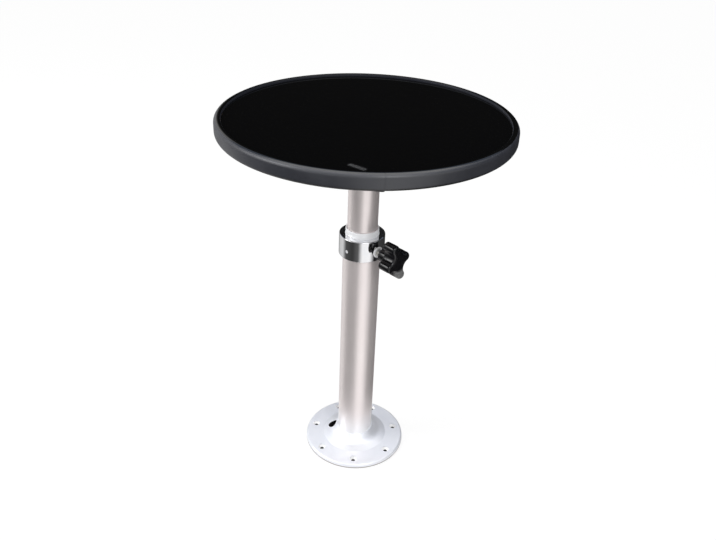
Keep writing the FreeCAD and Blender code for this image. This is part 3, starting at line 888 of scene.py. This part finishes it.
zinc_steel = make_plated("zinc_steel", (0.52, 0.51, 0.48, 1), (0.68, 0.67, 0.64, 1), (0.24, 0.40), 0.0005)
black_steel = make_plated("black_steel", (0.02, 0.02, 0.02, 1), (0.06, 0.06, 0.07, 1), (0.35, 0.50), 0.0004)
dull_nickel = make_plated("dull_nickel", (0.93, 0.93, 0.95, 1), (0.98, 0.98, 0.99, 1), (0.3, 0.4), 0.0006,
                          metallic=0.15)
tell(zinc_steel, black_steel, dull_nickel)

# %% [markdown]
# The hidden guides are nylon, milky and faintly yellow. The plug in the inner tube's end is black
# polypropylene. Both are moulded, so both have a slow flow pattern and a fine matt skin.

# %% Moulded plastics


def make_moulded(name, dark, light, rough, skin_depth):
    """Flow lines in the colour, a matt skin in the relief."""
    material, tree, shader = new_finish(name, 0.0)
    flow, skin = cloud(tree, 0.006, (1, 1, 0.4), 3.0), cloud(tree, 0.0005, detail=3.0)
    wire(tree, shader, blend(tree, flow, dark, light), rise(tree, skin, 0.3, 0.7, *rough),
         relief(tree, skin, skin_depth))
    return material


nylon = make_moulded("nylon", (0.74, 0.72, 0.65, 1), (0.84, 0.82, 0.76, 1), (0.38, 0.52), 0.00001)
plug_plastic = make_moulded("plug_plastic", grey(0.02), grey(0.04), (0.40, 0.55), 0.00002)
tell(nylon, plug_plastic)

# %% [markdown]
# The knob's phenolic is black right through and glossy where the mould was. Hands have dulled it in
# patches and left fine scratches, and a little dust sits on it. The lowest lobe is painted grey and made
# rougher, a painted sheen where it faces the light floor.

# %% Knob
# The third colour is a painted sheen, the grey of the lowest lobe where it faces the light floor.
phenolic, phenolic_dust, phenolic_sheen_grey = (0.004, 0.004, 0.005, 1), grey(0.08), grey(0.16)
knob_rough = (0.05, 0.10)
scratch_rough, lobe_sheen_rough = 0.06, 0.35
lobe_sheen_centre = (knob_high[0], 0.0050, clamp_height - 0.0250)
lobe_sheen_reach = 0.0160


def make_knob_plastic():
    """Gloss dulled in patches, with fine scratches and pale specks; a painted sheen in grey on the lowest
    lobe.
    """
    material, tree, shader = new_finish("knob_plastic", 0.0, 0.42)
    patches, scratches = cloud(tree, 0.010), cloud(tree, 0.0007, (1, 0.12, 0.4), 4.0)
    color = blend(tree, specks(tree, 0.0022, 0.07), phenolic, phenolic_dust)
    off = vectors(tree, "DISTANCE", {0: place_of(tree), 1: lobe_sheen_centre}, "Value")
    lobe_sheen = sums(tree, "MULTIPLY", rise(tree, off, 0.5 * lobe_sheen_reach, lobe_sheen_reach, 1.0, 0.0),
                  streaky(tree, 0.002))
    # Painted sheen: grey and rougher on the lowest lobe.
    color = blend(tree, lobe_sheen, color, phenolic_sheen_grey)
    rough = rise(tree, patches, 0.35, 0.7, *knob_rough)
    rough = sums(tree, "ADD", rough, rise(tree, scratches, 0.6, 0.8, 0.0, scratch_rough))
    rough = sums(tree, "MULTIPLY_ADD", lobe_sheen, lobe_sheen_rough, rough)
    wire(tree, shader, color, rough, relief(tree, scratches, 0.000004, relief(tree, patches, 0.00004)))
    return material


knob_plastic = make_knob_plastic()
tell(knob_plastic)

# %% [markdown]
# The top is a black high-pressure laminate under gloss. Its polish hides nothing: a faint orange peel,
# hair-fine scratches from wiping, specks of dust, and near the edge a short pale streak, greyer and
# rougher than the gloss around it.

# %% Table laminate
laminate_black, laminate_dust = (0.0022, 0.0022, 0.0024, 1), (0.25, 0.25, 0.24, 1)
pale_streak_grey = (0.06, 0.06, 0.062, 1)
laminate_rough = (0.05, 0.08)
wipe_rough, pale_streak_rough = 0.04, 0.3
pale_streak_start = Vector((0.1167, -0.1414, 0.0))
pale_streak_end = Vector((0.1365, -0.1388, 0.0))
pale_streak_width = 0.0056


def pale_streak_share(tree):
    """1 on the pale streak, from the distance in plan to the nearest point of its middle line."""
    along = (pale_streak_end - pale_streak_start).normalized()
    from_start = vectors(tree, "SUBTRACT", {0: place_of(tree, (1, 1, 0)), 1: pale_streak_start})
    run = vectors(tree, "DOT_PRODUCT", {0: from_start, 1: along}, "Value")
    run = sums(tree, "MINIMUM", sums(tree, "MAXIMUM", run, 0.0), (pale_streak_end - pale_streak_start).length)
    nearest = vectors(tree, "SCALE", {0: along, "Scale": run})
    off = vectors(tree, "DISTANCE", {0: from_start, 1: nearest}, "Value")
    near = rise(tree, off, 0.3 * pale_streak_width, pale_streak_width, 1.0, 0.0)
    return sums(tree, "MULTIPLY", near, streaky(tree, 0.003))


def make_table_laminate():
    """Scratches in the roughness, dust and a pale streak in the colour, all on black gloss."""
    material, tree, shader = new_finish("table_laminate", 0.0, 0.3)
    peel, pale_streak = cloud(tree, 0.004), pale_streak_share(tree)
    scratches = add(tree, "ShaderNodeTexWave", {"Vector": place_of(tree, (1, 0.2, 1)), "Scale": 60.0,
                                                "Distortion": 14.0, "Detail": 3.0, "Detail Scale": 2.0})
    fine = rise(tree, scratches.outputs["Fac"], 0.97, 1.0)
    dust = sums(tree, "MULTIPLY", specks(tree, 0.009, 0.025), 0.3)
    color = blend(tree, pale_streak, blend(tree, dust, laminate_black, laminate_dust), pale_streak_grey)
    rough = rise(tree, peel, 0.3, 0.7, *laminate_rough)
    rough = sums(tree, "ADD", rough, sums(tree, "MULTIPLY", fine, wipe_rough))
    rough = sums(tree, "MULTIPLY_ADD", pale_streak, pale_streak_rough, rough)
    wire(tree, shader, color, rough, relief(tree, peel, 0.000003))
    return material


table_laminate = make_table_laminate()
tell(table_laminate)

# %% [markdown]
# The band's rubber is nearly black, with a dull bloom that comes to the surface in patches and makes it
# look softer than the plastic of the knob. Arms rub the bloom off its crest, which is glossy for that, and
# the inner lip next to the top stays dull.

# %% Edge rubber
bloom_thin, bloom_thick = (0.016, 0.0172, 0.0230, 1), (0.025, 0.0268, 0.0355, 1)
# The lower edge's near black is painted shade, where the band's underside faces away from the light.
under_painted_shade, crest_black = grey(0.002), grey(0.003)
under_low, under_high = band_low[2] + 0.002, band_low[2] + 0.006
crest_low, crest_high = band_high[2] - 0.0012, band_high[2] - 0.0005
lip_start, lip_end = board_radius + 0.001, board_radius + 0.0045
lip_specular, band_specular = 0.1, 0.8
rubber_rough, rub_rough = (0.36, 0.46), 0.06
crest_polish = 0.8      # share of the roughness that is rubbed off the crest


def make_edge_rubber():
    """Bloom in patches over a fine grain; glossy crest, dull inner lip, lower edge painted dark as painted
    shade.
    """
    material, tree, shader = new_finish("edge_rubber", 0.0)
    bloom, grain = cloud(tree, 0.03, detail=4.0), cloud(tree, 0.0007, detail=3.0)
    rubs, height = cloud(tree, 0.006, (1, 1, 2.5), 3.0), height_of(tree)
    crest = rise(tree, height, crest_low, crest_high)
    color = blend(tree, bloom, bloom_thin, bloom_thick)
    # Painted shade: the lower edge goes near black.
    color = blend(tree, rise(tree, height, under_low, under_high), under_painted_shade, color)
    color = blend(tree, crest, color, crest_black)
    rough = rise(tree, bloom, 0.3, 0.7, *rubber_rough)
    rough = sums(tree, "ADD", rough, rise(tree, rubs, 0.55, 0.75, 0.0, rub_rough))
    rough = sums(tree, "MULTIPLY", rough, sums(tree, "MULTIPLY_ADD", crest, -crest_polish, 1.0))
    gloss = rise(tree, radius_of(tree), lip_start, lip_end, lip_specular, band_specular)
    tree.links.new(gloss, shader.inputs["Specular IOR Level"])
    wire(tree, shader, color, rough, relief(tree, grain, 0.000012))
    return material


edge_rubber = make_edge_rubber()
tell(edge_rubber)

# %% [markdown]
# Under the top, the bracket is a rougher casting than the flange and isn't polished. The board is chips
# of wood pressed with glue, which shows in its slot, and the sheet under it is brown paper laminate.

# %% Bracket, board and backing
chips_per_metre = 330.0


def make_raw_casting():
    """Sandy relief of two sizes on dull grey aluminium."""
    material, tree, shader = new_finish("raw_casting", 0.95)
    sand, lumps = cloud(tree, 0.0008, detail=5.0), cloud(tree, 0.005)
    color = blend(tree, lumps, (0.50, 0.50, 0.51, 1), (0.66, 0.66, 0.66, 1))
    wire(tree, shader, color, rise(tree, sand, 0.3, 0.7, 0.48, 0.66),
         relief(tree, sand, 0.00006, relief(tree, lumps, 0.00012)))
    return material


def make_chip_board():
    """Cells of a flattened lattice as chips, each with its own brown, and gaps between them."""
    material, tree, shader = new_finish("chip_board", 0.0)
    inputs = {"Vector": place_of(tree, (1, 1, 3)), "Scale": chips_per_metre}
    chips = add(tree, "ShaderNodeTexVoronoi", inputs)
    gaps = add(tree, "ShaderNodeTexVoronoi", inputs, feature="DISTANCE_TO_EDGE").outputs["Distance"]
    shade = add(tree, "ShaderNodeSeparateColor", {0: chips.outputs["Color"]}).outputs[0]
    color = blend(tree, shade, (0.30, 0.19, 0.10, 1), (0.60, 0.45, 0.28, 1))
    color = blend(tree, rise(tree, gaps, 0.0, 0.08), (0.14, 0.09, 0.05, 1), color)
    wire(tree, shader, color, rise(tree, shade, 0.0, 1.0, 0.65, 0.85), relief(tree, gaps, 0.0003))
    return material


def make_backing_sheet():
    """Brown paper fibres under a thin resin, pressed with a fine cloth pattern."""
    material, tree, shader = new_finish("backing_sheet", 0.0)
    fibres, cloth = cloud(tree, 0.002, (1, 0.15, 1), 4.0), cloud(tree, 0.0006, detail=2.0)
    color = blend(tree, fibres, (0.035, 0.024, 0.018, 1), (0.075, 0.050, 0.036, 1))
    wire(tree, shader, color, rise(tree, cloth, 0.3, 0.7, 0.45, 0.60), relief(tree, cloth, 0.00003))
    return material


raw_casting, chip_board, backing_sheet = make_raw_casting(), make_chip_board(), make_backing_sheet()
tell(raw_casting, chip_board, backing_sheet)

# %% [markdown]
# Now every piece gets its finish. One table says which finish each piece wears, so a finish can be tried
# on another piece by changing one word.

# %% Put the finishes on
node_finishes = {
    "base_flange": cast_flange, "base_set_screw": black_steel, "outer_tube": satin_tube,
    "clamp_collar": collar_chrome, "collar_set_screws": dull_nickel, "stud_boss": dull_nickel,
    "guide_bush": nylon, "lower_guide_ring": nylon, "inner_tube": satin_tube,
    "inner_tube_plug": plug_plastic, "stop_ring": zinc_steel, "pressure_pad": nylon,
    "table_bracket": raw_casting, "bracket_set_screws": black_steel, "bracket_screws": zinc_steel,
    "backing_laminate": backing_sheet, "core_board": chip_board, "top_laminate": table_laminate,
}
worn = [(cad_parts[node], finish) for node, finish in node_finishes.items()]
worn += [(hand_knob, knob_plastic), (threaded_stud, zinc_steel), (rubber_band, edge_rubber)]
for piece, finish in worn:
    piece.data.materials.clear()
    piece.data.materials.append(finish)
print("finishes on", len(worn), "pieces")
